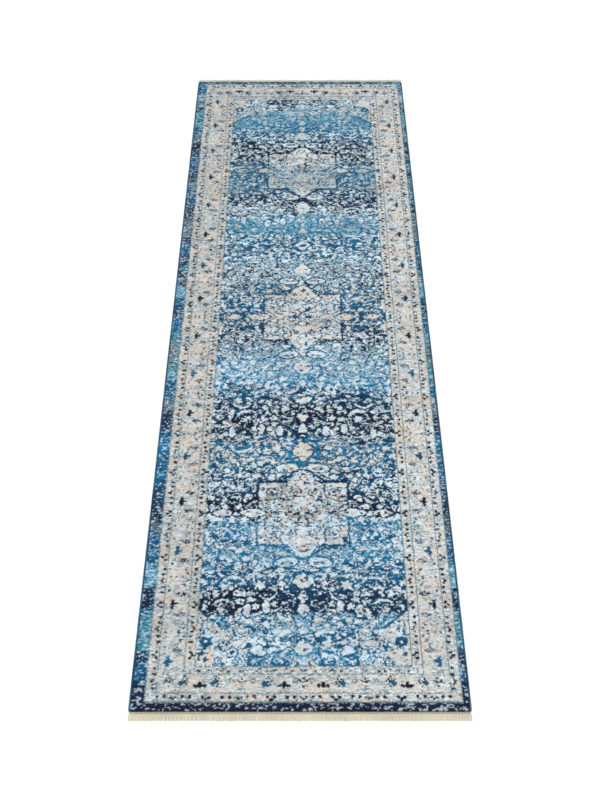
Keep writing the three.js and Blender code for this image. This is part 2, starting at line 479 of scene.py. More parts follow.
def draw_field_flowers(paper):
    """The large flowers, scrolls and pendants, each at its own place in the quarter."""
    for w, across, along, point in (
        (176, 34, 16, 1),
        (250, 30, 38, 1),
        (322, 12, 20, 1),
        (386, 27, 27, -1),
        (470, 16, 26, 1),
        (520, 13, 26, -1),
        (560, 12, 16, 1),
        (1096, 29, 32, 1),
        (1148, 12, 24, 1),
        (1190, 16, 24, 1),
        (1250, 14, 14, -1),
        (1305, 26, 26, -1),
    ):
        paper.palmette(0.0, w, across, along, WARM, point)
    for w in (186, 680, 1028):
        paper.oval(43.0, w, 35.0, 21.0, DARK, 0.12)
        paper.oval(43.0, w, 30.0, 16.0, LIGHT, 0.12)
        paper.oval(41.0, w + 3, 16.0, 6.0, BLUE, 0.12)
        paper.oval(41.0, w + 3, 9.0, 3.0, WARM, 0.12)
        paper.arc(26.0, w - 14, 24.0, 150, 250, 5.0, LIGHT)
    squares, du, dw = paper.window(0.0, 612.0, 64.0)
    paper.clear(squares, (du / 48.0) ** 2 + (dw / 60.0) ** 2 < 1.0)
    for across, along, role in ((33, 45, DARK), (28, 40, WARM), (13, 22, LIGHT)):
        paper.diamond(0.0, 612.0, across, along, role, 1.35)
    for u, w, radius, petals in (
        (100, 612, 15, 6),
        (146, 646, 14, 5),
        (118, 662, 12, 5),
        (60, 622, 11, 6),
        (232, 600, 14, 6),
        (188, 400, 13, 6),
        (150, 222, 14, 6),
        (112, 250, 12, 5),
        (58, 300, 15, 5),
        (196, 246, 10, 5),
        (110, 1106, 17, 6),
        (220, 200, 12, 5),
        (72, 1168, 11, 5),
        (118, 1176, 12, 5),
        (158, 1160, 12, 5),
        (86, 716, 13, 5),
        (206, 690, 12, 6),
        (238, 470, 13, 6),
        (160, 480, 16, 7),
        (130, 330, 12, 5),
        (226, 336, 12, 5),
        (112, 1050, 15, 6),
        (190, 1020, 12, 5),
        (236, 1060, 11, 5),
        (60, 1240, 10, 5),
        (30, 455, 9, 5),
    ):
        paper.flower(u, w, radius, petals, halo=7.0)
    for u, w, radius, start, end, width in (
        (172, 584, 30, 10, 170, 12),
        (160, 470, 27, 185, 355, 14),
        (176, 1112, 32, 190, 350, 11),
        (212, 690, 20, 30, 210, 8),
        (150, 270, 24, 20, 190, 9),
        (206, 268, 20, 0, 170, 8),
        (176, 405, 24, 10, 170, 9),
        (60, 540, 22, 100, 280, 7),
        (200, 1180, 26, 170, 350, 8),
        (90, 1130, 22, 20, 200, 7),
        (120, 180, 20, 10, 170, 7),
        (20, 478, 34, 200, 340, 6),
    ):
        squares, du, dw = paper.window(u, w, radius + 14.0)
        facing = np.cos(np.arctan2(dw, du) - math.radians((start + end) / 2)) > -0.1
        paper.clear(squares, (np.abs(np.hypot(du, dw) - radius) < 0.5 * width + 7.0) & facing)
        paper.arc(u, w, radius, start, end, width + 5.0, DARK)
        paper.arc(u, w, radius, start, end, width, LIGHT)
    for u, w in ((118, 520), (66, 528), (92, 1178), (140, 1190), (200, 534)):
        paper.oval(u, w, 13.0, 26.0, DARK)
        paper.oval(u, w, 9.5, 22.0, LIGHT)
        paper.oval(u, w, 4.0, 12.0, WARM)


def draw_pale_ground(paper, draw):
    """The pale parts of the field, closely worked: the corners, and the medallions with their points."""
    w = paper.w[:, None]
    u = paper.u[None, :]
    pale = ((u + w > 1446.0) & (w <= 1246.0)) | ((w > 1246.0) & (u > 134.0))
    pale &= (u < FIELD_HALF[0]) & (w < FIELD_HALF[1])
    for middle in MEDALLIONS:
        away = np.abs(w - middle)
        body = (u < MEDALLION_HALF[0] + 4.5) & (away < MEDALLION_HALF[1] + 4.5)
        point = (u / 56.0) ** 0.9 + (np.abs(away - MEDALLION_HALF[1]) / 48.0) ** 0.9 < 1.0
        paper.role[body | point] = DARK
        body = (u < MEDALLION_HALF[0]) & (away < MEDALLION_HALF[1])
        point = (u / 48.0) ** 0.9 + (np.abs(away - MEDALLION_HALF[1]) / 42.0) ** 0.9 < 1.0
        pale |= body | point
    rows, columns = paper.role.shape
    leaf = cloud(draw, rows, columns, 4.0, 4.4)
    paper.role[pale] = IVORY
    paper.role[pale & (leaf > 0.60)] = LIGHT
    paper.role[pale & (leaf < 0.36)] = WARM
    level = np.abs(cloud(draw, rows, columns, 4.4, 4.2) - 0.5)
    paper.role[pale & (level < 0.045)] = BLUE


def draw_corner(paper):
    """What stands in the pale corner of the field: its square, its blue rosette and its scrolls."""
    paper.stroke([(258, 1188), (200, 1246), (134, 1246), (134, 1364)], 3.0, BLUE)
    paper.oval(236.0, 1333.0, 33.0, 24.0, WARM)
    paper.flower(238.0, 1288.0, 15.0, 6, BLUE, LIGHT)
    rosettes = ((165, 1270, 13), (172, 1320, 15), (158, 1348, 10), (196, 1290, 11), (205, 1345, 9))
    for u, w, radius in rosettes:
        paper.flower(u, w, radius, 5, LIGHT, BLUE)
    for u, w in ((205, 1352), (150, 1300), (255, 1255), (180, 1262)):
        paper.arc(u, w, 11.0, 40, 250, 4.6, BLUE)
    for u, w in ((105, 1318), (60, 1345), (118, 1345), (30, 1350)):
        paper.arc(u, w, 16.0, -60, 200, 8.0, BLUE)
    paper.oval(112.0, 1312.0, 15.0, 12.0, LIGHT, 0.7)


def draw_medallion(paper, middle, inner):
    """A cross-shaped medallion. inner is the side that faces the rug's middle, or 0 for the middle one."""
    half_u, half_w = MEDALLION_HALF
    for side in (-1.0, 1.0):
        # The navy ogee round the pointed end
        tip = middle + side * half_w
        ogee = [(half_u, 4.0), (78.0, 6.0), (56.0, 10.0), (36.0, 28.0), (12.0, 48.0), (0.0, 52.0)]
        paper.stroke([(u, tip + side * away) for u, away in ogee], 4.5, DARK)
    for side in (-1.0, 1.0):
        paper.diamond(0.0, middle + side * 126.0, 34.0, 36.0, LIGHT, 1.2)
        paper.diamond(0.0, middle + side * 124.0, 25.0, 27.0, WARM, 1.2)
        draw_medallion_quarter(paper, middle, side, DARK if side == inner or inner == 0 else BLUE)
    paper.stroke([(50, middle - 66), (50, middle + 66)], 3.0, WARM)
    for u, w, radius in ((12, 0, 6), (24, 4, 5), (34, -3, 5), (44, 2, 4), (8, 12, 4), (14, -12, 4)):
        paper.dot(u, middle + w, radius, DARK)
    paper.dot(0.0, middle, 5.5, LIGHT)
    paper.arc(0.0, middle + (inner or -1.0) * -34, 14.0, -90, 90, 6.0, DARK)
    # Cartouches beside the medallion
    for u, across, along in ((134.0, 36.0, 16.0), (214.0, 27.0, 14.0)):
        paper.diamond(u, middle, across + 5.0, along + 4.5, DARK, 1.3)
        paper.diamond(u, middle, across, along, LIGHT, 1.3)
        paper.diamond(u, middle, across * 0.8, along * 0.75, WARM, 1.3)
        paper.dot(u - 14.0, middle, 3.0, DARK)


def draw_medallion_quarter(paper, middle, side, heavy):
    """One quarter of a medallion: the corner square, its rosettes and the notch beside it."""
    half_u, half_w = MEDALLION_HALF
    notch = [(half_u + 4, 40), (half_u - 6, 32), (82, 0)]
    paper.stroke([(u, middle + side * w) for u, w in notch], 3.6, DARK)
    stepped = [(half_u, 46), (96, 44), (78, 50), (62, 58), (56, 78), (60, half_w - 12), (50, half_w)]
    paper.stroke([(u, middle + side * w) for u, w in stepped], 3.6, heavy)
    for u, w, across, along in ((106, 102, 10, 9), (78, 104, 12, 6), (106, 66, 7, 12), (30, 100, 14, 8)):
        paper.oval(u, middle + side * w, across, along, WARM)
    for u, w, radius, role in ((84, 78, 14, heavy), (25, 76, 10, heavy), (68, 23, 9, DARK)):
        for petal in range(0, 360, 72):
            paper.arc(u, middle + side * w, radius, petal, petal + 44, 4.4, role)
        paper.dot(u, middle + side * w, 0.3 * radius, role)
    paper.oval(8.0, middle + side * 50, 15.0, 24.0, WARM)
    paper.oval(0.0, middle + side * 52, 6.0, 16.0, LIGHT)
    tip_beads = ((14, 124), (8, 136), (18, 112), (34, 92))
    body_beads = ((47, 60), (40, 50), (30, 24), (20, 36), (106, 92), (98, 56))
    for u, w in tip_beads + body_beads:
        paper.dot(u, middle + side * w, 3.4, heavy)


def draw_quarter(knot, seed):
    """The whole quarter: the field first, then what stands on it, then the borders."""
    paper = Paper(410.0, 1520.0, knot)
    draw = np.random.default_rng(seed)
    paper.frame(FIELD_HALF, FIELD)
    draw_filler(paper, draw)
    draw_vines(paper)
    draw_sprigs(paper, draw)
    draw_field_flowers(paper)
    paper.role[paper.role == CLEAR] = FIELD
    draw_pale_ground(paper, draw)
    draw_corner(paper)
    draw_medallion(paper, MEDALLIONS[0], 0.0)
    draw_medallion(paper, MEDALLIONS[1], -1.0)
    field = paper.role.copy()
    for half, role in BORDER_FRAMES:
        paper.frame(half, role)
    draw_tracery(paper, draw, IVORY, LINE, 0.022)
    draw_borders(paper)
    inside = (paper.w[:, None] < FIELD_HALF[1]) & (paper.u[None, :] < FIELD_HALF[0])
    paper.role[inside] = field[inside]
    return paper


# ---------------------------------------------------------------------------------------------------
# The dye bands: which yarns each band of rows is woven with, from the near end
# ---------------------------------------------------------------------------------------------------

# start of the band in millimetres from the middle, field ground, light yarn, dark yarn
FIELD_BANDS = [
    (-1500, "mist", "ice", "mid"),
    (-1375, "sky", "ice", "mid"),
    (-1330, "mid", "ice", "deep"),
    (-1290, "mist", "ice", "mid"),
    (-1255, "sky", "ice", "deep"),
    (-1205, "navy", "ice", "navy"),
    (-1140, "deep", "ice", "navy"),
    (-1110, "mid", "ice", "deep"),
    (-1045, "sky", "ice", "mid"),
    (-985, "bright", "ice", "deep"),
    (-940, "sky", "ice", "mid"),
    (-890, "navy", "ice", "navy"),
    (-830, "deep", "ice", "navy"),
    (-765, "mid", "ice", "navy"),
    (-690, "bright", "cream", "deep"),
    (-575, "navy", "ice", "navy"),
    (-530, "navy", "ice", "ink"),
    (-455, "navy", "ice", "navy"),
    (-425, "deep", "ice", "navy"),
    (-380, "mid", "ice", "deep"),
    (-345, "sky", "ice", "mid"),
    (-295, "mist", "ice", "mid"),
    (-205, "mist", "ice", "deep"),
    (-150, "mist", "ice", "navy"),
    (-95, "deep", "ice", "navy"),
    (-60, "mid", "cream", "deep"),
    (20, "mid", "ice", "deep"),
    (70, "bright", "cream", "deep"),
    (135, "mist", "ice", "navy"),
    (200, "mist", "ice", "navy"),
    (280, "mist", "ice", "deep"),
    (315, "mid", "ice", "deep"),
    (400, "bright", "ice", "deep"),
    (450, "teal", "mist", "mid"),
    (510, "sky", "ice", "mid"),
    (550, "mist", "ice", "navy"),
    (610, "navy", "ice", "navy"),
    (655, "deep", "ice", "navy"),
    (705, "mid", "mist", "deep"),
    (760, "bright", "mist", "deep"),
    (880, "deep", "ice", "navy"),
    (925, "navy", "ice", "ink"),
    (1010, "deep", "ice", "navy"),
    (1050, "mid", "ice", "deep"),
    (1120, "bright", "mist", "mid"),
    (1160, "teal", "mist", "mid"),
    (1215, "sky", "mist", "mid"),
    (1262, "mist", "ice", "deep"),
    (1310, "mist", "ice", "deep"),
]

# Pools of another dye: middle and half size in millimetres, field ground, light yarn, dark yarn
FIELD_POOLS = [
    (-150, -1172, 110, 38, "ink", "ice", "ink"),
    (-140, -840, 120, 40, "ink", "ice", "ink"),
    (170, -850, 70, 40, "ink", "ice", "ink"),
    (30, -478, 110, 42, "ink", "ice", "ink"),
    (-150, -500, 60, 30, "ink", "ice", "ink"),
    (150, -455, 40, 25, "ink", "ice", "ink"),
    (-190, -125, 50, 35, "sand", "ice", "ink"),
    (215, -100, 34, 46, "navy", "ice", "ink"),
    (-60, 640, 110, 24, "ink", "ice", "navy"),
    (-180, 985, 80, 50, "ink", "ice", "ink"),
    (190, 960, 70, 50, "ink", "ice", "ink"),
    (0, 1010, 90, 30, "ink", "ice", "ink"),
    (-70, 1320, 55, 50, "deep", "ice", "navy"),
]

# start of the band in millimetres from the middle, and the outer band's yarn
EDGE_BANDS = [
    (-1500, "ink"),
    (-1464, "navy"),
    (-1410, "mid"),
    (-1360, "navy"),
    (-1330, "teal"),
    (-1210, "navy"),
    (-1125, "sky"),
    (-1055, "mid"),
    (-930, "slate"),
    (-890, "navy"),
    (-845, "deep"),
    (-745, "mid"),
    (-640, "bright"),
    (-565, "deep"),
    (-510, "navy"),
    (-470, "slate"),
    (-400, "mid"),
    (-330, "teal"),
    (-230, "slate"),
    (-160, "teal"),
    (-90, "mid"),
    (0, "deep"),
    (60, "mid"),
    (100, "sky"),
    (150, "navy"),
    (172, "slate"),
    (200, "navy"),
    (222, "teal"),
    (250, "deep"),
    (340, "mid"),
    (380, "deep"),
    (410, "slate"),
    (560, "navy"),
    (600, "deep"),
    (640, "mid"),
    (740, "slate"),
    (780, "deep"),
    (850, "mid"),
    (940, "navy"),
    (1050, "slate"),
    (1110, "mid"),
    (1160, "teal"),
    (1260, "deep"),
    (1310, "slate"),
    (1350, "mist"),
    (1385, "mid"),
]


# In knots, in the field and in the borders
KNOT_STRAY = (0.20, 0.10)
DRAWING_SWAY = (2.0, 0.3)
# How much lighter the ivory is on the right side
RIGHT_IVORY_GAIN = 1.10


def band_rows(bands, place):
    """The index of the band that each place falls in."""
    starts = np.array([band[0] for band in bands[1:]], float)
    return np.searchsorted(starts, place)


def yarns_of(bands, column):
    """The yarns' colours in one column of a table of bands."""
    return np.array([yarn(band[column]) for band in bands])


def pick(shares, *yarns):
    """For each knot one of the yarns, by a noise from 0 to 1 and each yarn's share."""
    shape = shares[0].shape
    result = np.broadcast_to(yarns[-1], (*shape, 3)).copy()
    for limit, strand in reversed(list(zip(shares[1:], yarns[:-1]))):
        chosen = shares[0] < limit
        result[chosen] = np.broadcast_to(strand, result.shape)[chosen]
    return result


def read_drawing(draw, x, y, settings):
    """The yarn's role at every knot, which knots are in the field, and which show the drawing's borders.
    Knots stray a little from the drawing, which also sways in the field, so that edges are ragged."""
    rows, columns = len(y), len(x)
    knot = settings.knot / MM
    paper = draw_quarter(knot, settings.seed)
    in_field = (np.abs(x)[None, :] < FIELD_HALF[0]) & (np.abs(y)[:, None] < FIELD_HALF[1])
    stray = np.where(in_field, *KNOT_STRAY) * knot
    stray_x = stray * draw.normal(size=(rows, columns))
    stray_y = stray * draw.normal(size=(rows, columns))
    sway = np.where(in_field, *DRAWING_SWAY) * knot
    stray_x += sway * (cloud(draw, rows, columns, 2.2, 2.6) - 0.5)
    stray_y += sway * (cloud(draw, rows, columns, 2.2, 2.6) - 0.5)
    u = np.abs(x[None, :] - settings.shift / MM + stray_x)
    w = np.abs(y[:, None] + settings.far_shift / MM + stray_y)
    far_border = (w > FAR_BORDER_START) & (y[:, None] > 0)
    w = np.where(far_border, FAR_BORDER_START + FAR_BORDER_STRETCH * (w - FAR_BORDER_START), w)
    column = np.clip(np.rint(u / knot).astype(int), 0, paper.role.shape[1] - 1)
    row = np.clip(np.rint(w / knot).astype(int), 0, paper.role.shape[0] - 1)
    in_border = (u > FIELD_HALF[0]) | (w > FIELD_HALF[1])
    return paper.role[row, column], in_field, in_border


def dyed_yarns(x, y, wander, pool_edge):
    """The field's ground, light and dark yarn at every knot: the dye bands, and the pools over them."""
    band = band_rows(FIELD_BANDS, y[:, None] + wander)
    lots = [yarns_of(FIELD_BANDS, column)[band] for column in (1, 2, 3)]
    for pool_x, pool_y, half_x, half_y, *names in FIELD_POOLS:
        away_x = (x[None, :] - pool_x) / half_x
        away_y = (y[:, None] + 0.4 * wander - pool_y) / half_y
        away = away_x**2 + away_y**2
        for lot, name in zip(lots, names):
            lot[away < pool_edge] = yarn(name)
    return lots


def wear(role, in_field, ground, worn, fleck, grain):
    """Where the pile is worn, light specks come through the ground and the flowers lose knots."""
    bare = np.clip(worn - 0.45, 0.0, 1.0)
    depth_of_dye = np.clip(1.0 - ground.sum(axis=-1) / yarn("mid").sum(), 0.0, 1.0)
    role = np.where((role == FIELD) & (grain < 0.29 - 0.16 * depth_of_dye + 0.4 * bare), LIGHT, role)
    role = np.where((role == LIGHT) & (grain > 0.80 - 0.3 * bare), FIELD, role)
    role = np.where(in_field & (role == DARK) & (fleck < 0.06), FIELD, role)
    role = np.where(in_field & (role == WARM) & (grain > 0.72), BLUE, role)
    return np.where(in_field & (role == WARM) & (grain < 0.26), LIGHT, role)


def weave_colours(x, y, settings):
    """The colour of every knot, in linear light: the drawing, the dye bands and the wear."""
    draw = np.random.default_rng(settings.seed + 1)
    rows, columns = len(y), len(x)

    def noise(row_cell, column_cell):
        return cloud(draw, rows, columns, row_cell, column_cell)

    role, in_field, in_border = read_drawing(draw, x, y, settings)

    # The dye bands' edges wander and mix
    wander = 62.0 * (noise(9, 34) - 0.5) + 34.0 * (noise(1.2, 8) - 0.5)
    wander += draw.normal(0.0, 7.0, (rows, columns))
    worn = noise(16, 34) * 0.55 + noise(4, 12) * 0.45
    fleck = draw.random((rows, columns))
    grain = 0.86 * noise(2.6, 3.2) + 0.14 * fleck
    ground, light, dark = dyed_yarns(x, y, wander, 0.5 * noise(5, 9) + 0.75)
    edge = yarns_of(EDGE_BANDS, 1)[band_rows(EDGE_BANDS, y[:, None] + 0.8 * wander)]
    role = wear(role, in_field, ground, worn, fleck, grain)

    mottle = 0.85 * noise(2.6, 3.4) + 0.15 * draw.random((rows, columns))
    field_ground = pick((mottle, 0.38, 0.72), dark, ground, 0.75 * ground + 0.25 * yarn("sky"))
    mottle = 0.8 * noise(1.3, 2.2) + 0.2 * fleck
    edge_dark = yarn("navy") * 0.7 + edge * 0.3
    edge_light = edge * 0.35 + yarn("ice") * 0.65
    outer = pick((mottle, 0.36, 0.67), edge_dark, edge, edge_light)
    light = pick((noise(3, 3.4), 0.36, 0.80), 0.55 * yarn("mist") + 0.45 * light, light, yarn("ice"))
    warm_share = 0.25 + 0.65 * noise(6, 6)[..., None]
    warm = yarn("peach") * warm_share + light * (1 - warm_share)
    dash = noise(1.0, 2.6)
    grey_ivory = yarn("slate") * 0.6 + yarn("ivory") * 0.4
    ivory = pick((dash, 0.30, 0.64), grey_ivory, yarn("ivory"), 0.5 * yarn("cream") + 0.5 * yarn("ice"))
    ivory = np.where((noise(9, 14) > 0.62)[..., None], 0.6 * ivory + 0.4 * yarn("peach"), ivory)
    # The ivory is lighter on the right side
    ivory = ivory * np.where(x > 0.0, RIGHT_IVORY_GAIN, 1.0)[None, :, None]
    blue = 0.5 * yarn("deep") + 0.5 * dark

    # In the borders the dark yarn is ink, whatever the field's dye band is
    border = in_border[..., None]
    dark = np.where(border, yarn("ink"), dark)
    warm = np.where(border, 0.5 * warm + 0.5 * ivory, warm)
    # The pale parts of the field take on some of the dye band that they are in
    ivory = np.where(border, ivory, 0.74 * ivory + 0.26 * ground)

    choices = {
        FIELD: field_ground,
        IVORY: ivory,
        BAND: outer,
        LIGHT: light,
        DARK: dark,
        WARM: warm,
        BLUE: blue,
        LINE: np.broadcast_to(yarn("slate"), light.shape),
    }
    colour = np.zeros((rows, columns, 3))
    for key, value in choices.items():
        chosen = role == key
        colour[chosen] = value[chosen]

    # Light and shade from knot to knot, in short runs along the row
    run = noise(1.0, 4.0) - 0.5
    broad = noise(20, 40) - 0.5
    shade = 1.0 + 0.30 * run + 0.20 * broad + 0.08 * draw.normal(size=(rows, columns))
    return np.clip(colour * np.clip(shade, 0.45, 1.6)[..., None], 0.0, 0.95)


# ---------------------------------------------------------------------------------------------------
# Meshes
# ---------------------------------------------------------------------------------------------------


def grid_faces(rows, columns, first=0, flipped=False):
    """Corner numbers of the quads of a grid of points, row by row."""
    start = first + np.arange(rows - 1)[:, None] * columns + np.arange(columns - 1)[None, :]
    corners = [start, start + 1, start + columns + 1, start + columns]
    if flipped:
        corners.reverse()
    return np.stack(corners, axis=-1).reshape(-1, 4)


def tube_faces(rings, sides, first=0):
    """Corner numbers of the quads of a tube of closed rings, ring by ring."""
    ring = np.arange(rings - 1)[:, None] * sides
    side = np.arange(sides)[None, :]
    after = (side + 1) % sides
    corners = [ring + side, ring + after, ring + sides + after, ring + sides + side]
    return first + np.stack(corners, axis=-1).reshape(-1, 4)


def rim_of(index):
    """The points round the edge of a grid of point numbers, in order."""
    return np.concatenate([index[0, :], index[1:, -1], index[-1, -2::-1], index[-2:0:-1, 0]])


def together(parts):
    """The points, faces and caps of several meshes as one."""
    points, faces, caps = [], [], []
    first = 0
    for part_points, part_faces, part_caps in parts:
        points.append(part_points)
        faces.append(part_faces + first)
        caps += [cap + first for cap in part_caps]
        first += len(part_points)
    return np.concatenate(points), np.concatenate(faces), caps


def new_mesh_object(name, points, faces, caps=(), smooth=True):
    """An object from an array of points, an array of quads and a few faces of any number of corners."""
    points = np.asarray(points, np.float32).reshape(-1, 3)
    sizes = [4] * len(faces) + [len(cap) for cap in caps]
    loops = np.concatenate([np.asarray(faces).ravel(), *[np.asarray(cap) for cap in caps]]).astype(np.int32)
    starts = np.concatenate([[0], np.cumsum(sizes)[:-1]]).astype(np.int32)
    mesh = bpy.data.meshes.new(name)
    mesh.vertices.add(len(points))
    mesh.vertices.foreach_set("co", points.ravel())
    mesh.loops.add(len(loops))
    mesh.loops.foreach_set("vertex_index", loops)
    mesh.polygons.add(len(sizes))
    mesh.polygons.foreach_set("loop_start", starts)
    mesh.polygons.foreach_set("use_smooth", np.full(len(sizes), smooth))
    mesh.update(calc_edges=True)
    mesh.validate()
    piece = bpy.data.objects.new(name, mesh)
    bpy.context.scene.collection.objects.link(piece)
    return piece


def add_shade(piece, values):
    """Keeps one number for each point, from 0 to 1, which the material reads."""
    shade = piece.data.attributes.new("shade", "FLOAT", "POINT")
    shade.data.foreach_set("value", np.asarray(values, np.float32))


def outfit(piece, material, node, body=ROOT_BODY):
    """Gives a piece its material and its body, and hides the CAD node that it stands for."""
    piece.data.materials.append(material)
    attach(piece, body)
    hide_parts(node)


def slab(name, x, y, top, bottom):
    """A closed sheet between two height fields, which have a row for each y and a column for each x."""
    rows, columns = len(y), len(x)
    across, along = np.meshgrid(x, y)
    upper = np.stack([across, along, np.broadcast_to(top, across.shape)], axis=-1)
    lower = np.stack([across, along, np.broadcast_to(bottom, across.shape)], axis=-1)
    points = np.concatenate([upper.reshape(-1, 3), lower.reshape(-1, 3)])
    count = rows * columns
    rim = rim_of(np.arange(count).reshape(rows, columns))
    after = np.roll(rim, -1)
    walls = np.stack([rim, rim + count, after + count, after], axis=-1)
    faces = np.concatenate([grid_faces(rows, columns), grid_faces(rows, columns, count, True), walls])
    return new_mesh_object(name, points, faces)


RIDGE = 0.16  # how far each ply stands out, as a share of a yarn's radius


def twisted_strands(paths, radius, sides, lobes, twist, taper):
    """Points and faces of many yarns. paths has a row of places for each yarn; radius is one number for each
    place; lobes is how many plies show, and twist how far the section turns from end to end, in radians."""
    yarns, places, _ = paths.shape
    along = np.gradient(paths, axis=1)
    along /= np.linalg.norm(along, axis=2, keepdims=True)
    across = np.cross(along, np.array([0.0, 0.0, 1.0]))
    across /= np.maximum(np.linalg.norm(across, axis=2, keepdims=True), 1e-9)
    up = np.cross(across, along)
    turn = np.linspace(0.0, 2 * math.pi, sides, endpoint=False)
    phase = twist[:, None] * np.linspace(0.0, 1.0, places)[None, :]
    ridges = 1.0 + RIDGE * np.cos(lobes * (turn[None, None, :] + phase[:, :, None]))
    reach = radius[:, :, None] * taper[None, :, None] * ridges
    ring = (
        paths[:, :, None, :]
        + across[:, :, None, :] * (reach * np.cos(turn))[..., None]
        + up[:, :, None, :] * (reach * np.sin(turn))[..., None]
    )
    faces = [tube_faces(places, sides, number * places * sides) for number in range(yarns)]
    caps = []
    for number in range(yarns):
        first = number * places * sides
        caps.append(np.arange(first, first + sides)[::-1])
        last = first + (places - 1) * sides
        caps.append(np.arange(last, last + sides))
    return ring.reshape(-1, 3), np.concatenate(faces), caps


# ---------------------------------------------------------------------------------------------------
# Materials
# ---------------------------------------------------------------------------------------------------


class Recipe:
    """A material in the making: its node tree, its shader and short ways to add nodes."""

    def __init__(self, name, roughness=0.9, sheen=0.25):
        self.material = bpy.data.materials.new(name)
        self.material.use_nodes = True
        self.tree = self.material.node_tree
        self.shader = self.tree.nodes["Principled BSDF"]
        self.shader.inputs["Roughness"].default_value = roughness
        self.shader.inputs["Sheen Weight"].default_value = sheen
        self.shader.inputs["Sheen Roughness"].default_value = 0.6
        self.shader.inputs["Specular IOR Level"].default_value = 0.2
        self.place = self.add("ShaderNodeTexCoord").outputs["Object"]

    def add(self, kind, **settings):
        node = self.tree.nodes.new(kind)
        for key, value in settings.items():
            setattr(node, key, value)
        return node

    def join(self, output, socket):
        self.tree.links.new(output, socket)

    def noise(self, scale, stretch=(1.0, 1.0, 1.0), detail=2.0):
        """Noise of that many features in a metre, stretched along each axis."""
        mapping = self.add("ShaderNodeMapping")
        mapping.inputs["Scale"].default_value = [scale * part for part in stretch]
        self.join(self.place, mapping.inputs["Vector"])
        node = self.add("ShaderNodeTexNoise")
        node.inputs["Scale"].default_value = 1.0
        node.inputs["Detail"].default_value = detail
        self.join(mapping.outputs["Vector"], node.inputs["Vector"])
        return node.outputs["Fac"]

    def ramp(self, factor, stops):
        node = self.add("ShaderNodeValToRGB")
        elements = node.color_ramp.elements
        while len(elements) < len(stops):
            elements.new(0.5)
        for element, (position, colour) in zip(elements, stops):
            element.position = position
            element.color = (*colour, 1.0)
        self.join(factor, node.inputs["Fac"])
        return node.outputs["Color"]

    def multiply(self, first, second, share=1.0):
        node = self.add("ShaderNodeMix", data_type="RGBA", blend_type="MULTIPLY")
        node.inputs["Factor"].default_value = share
        self.join(first, node.inputs["A"])
        self.join(second, node.inputs["B"])
        return node.outputs["Result"]

    def bump(self, height, distance, strength=0.6):
        node = self.add("ShaderNodeBump")
        node.inputs["Strength"].default_value = strength
        node.inputs["Distance"].default_value = distance
        self.join(height, node.inputs["Height"])
        self.join(node.outputs["Normal"], self.shader.inputs["Normal"])

    def colour(self, output):
        self.join(output, self.shader.inputs["Base Color"])
        return self.material


def grey(value):
    return (value, value, value)


def pile_material():
    """Cut pile: the woven colours, with a random fibre tone and painted shade in the hollows of the fibre
    bump between the tufts, and the sheen of yarn ends.
    """
    recipe = Recipe("cut_pile_yarn", roughness=0.95, sheen=0.02)
    knots = recipe.add("ShaderNodeAttribute", attribute_name="knots").outputs["Color"]
    fibres = recipe.noise(1500.0, (1.0, 0.7, 1.0), 3.0)
    # Painted shade: the fibres are darker where the same noise makes the bump low
    fibre_tone_and_painted_shade = recipe.ramp(fibres, [(0.3, grey(0.62)), (0.7, grey(0.94))])
    recipe.bump(fibres, 0.0006, 0.5)
    return recipe.colour(recipe.multiply(knots, fibre_tone_and_painted_shade, 0.8))


def yarn_material(name, colour_name, spread=0.25, scale=900.0, roughness=0.9, sheen=0.25):
    """Spun yarn of one dye: lighter and darker fibres, and places that took less dye."""
    recipe = Recipe(name, roughness, sheen)
    colour = yarn(colour_name)
    fibres = recipe.noise(scale, (1.0, 0.35, 1.0), 3.0)
    lots = recipe.noise(14.0, (1.0, 1.0, 1.0), 1.0)
    dark, light = colour * (1 - spread), np.minimum(colour * (1 + 0.5 * spread), 1)
    base = recipe.ramp(fibres, [(0.3, dark), (0.7, light)])
    lot_shade = recipe.ramp(lots, [(0.35, grey(0.86)), (0.65, grey(1.0))])
    recipe.bump(fibres, 0.0004, 0.6)
    return recipe.colour(recipe.multiply(base, lot_shade))


def serging_material():
    """Serging yarn, which follows the dye bands of the outer band, softened."""
    recipe = Recipe("serging_yarn", 0.85, 0.25)
    lots = recipe.noise(9.0, (0.01, 1.0, 0.01), 2.0)
    base = recipe.ramp(
        lots, [(0.36, yarn("navy")), (0.48, yarn("deep")), (0.60, yarn("mid")), (0.72, yarn("slate"))]
    )
    fibres = recipe.noise(1600.0, (1.0, 0.4, 1.0), 2.0)
    shade = recipe.ramp(fibres, [(0.3, grey(0.75)), (0.7, grey(1.0))])
    recipe.bump(fibres, 0.0003, 0.5)
    return recipe.colour(recipe.multiply(base, shade))


def latex_material():
    """Thin latex over the back of the weave: the yarns show through as ribs."""
    recipe = Recipe("back_latex", 0.75, 0.0)
    colour = yarn("latex")
    ribs = recipe.noise(420.0, (1.0, 0.06, 1.0), 2.0)
    smears = recipe.noise(7.0, (1.0, 1.0, 1.0), 3.0)
    base = recipe.ramp(ribs, [(0.3, colour * 0.72), (0.65, colour)])
    patches = recipe.ramp(smears, [(0.35, grey(0.84)), (0.6, grey(1.0))])
    recipe.bump(ribs, 0.0005, 0.5)
    return recipe.colour(recipe.multiply(base, patches))


def cloth_material(name, colour_name):
    """Plain woven cotton: over-and-under shading from the shade attribute, and slubs."""
    recipe = Recipe(name, 0.9, 0.2)
    colour = yarn(colour_name)
    over = recipe.add("ShaderNodeAttribute", attribute_name="shade").outputs["Fac"]
    base = recipe.ramp(over, [(0.0, colour * 0.55), (1.0, colour)])
    slubs = recipe.noise(260.0, (1.0, 0.3, 1.0), 3.0)
    shade = recipe.ramp(slubs, [(0.3, grey(0.8)), (0.7, grey(1.0))])
    recipe.bump(slubs, 0.0003, 0.5)
    return recipe.colour(recipe.multiply(base, shade))


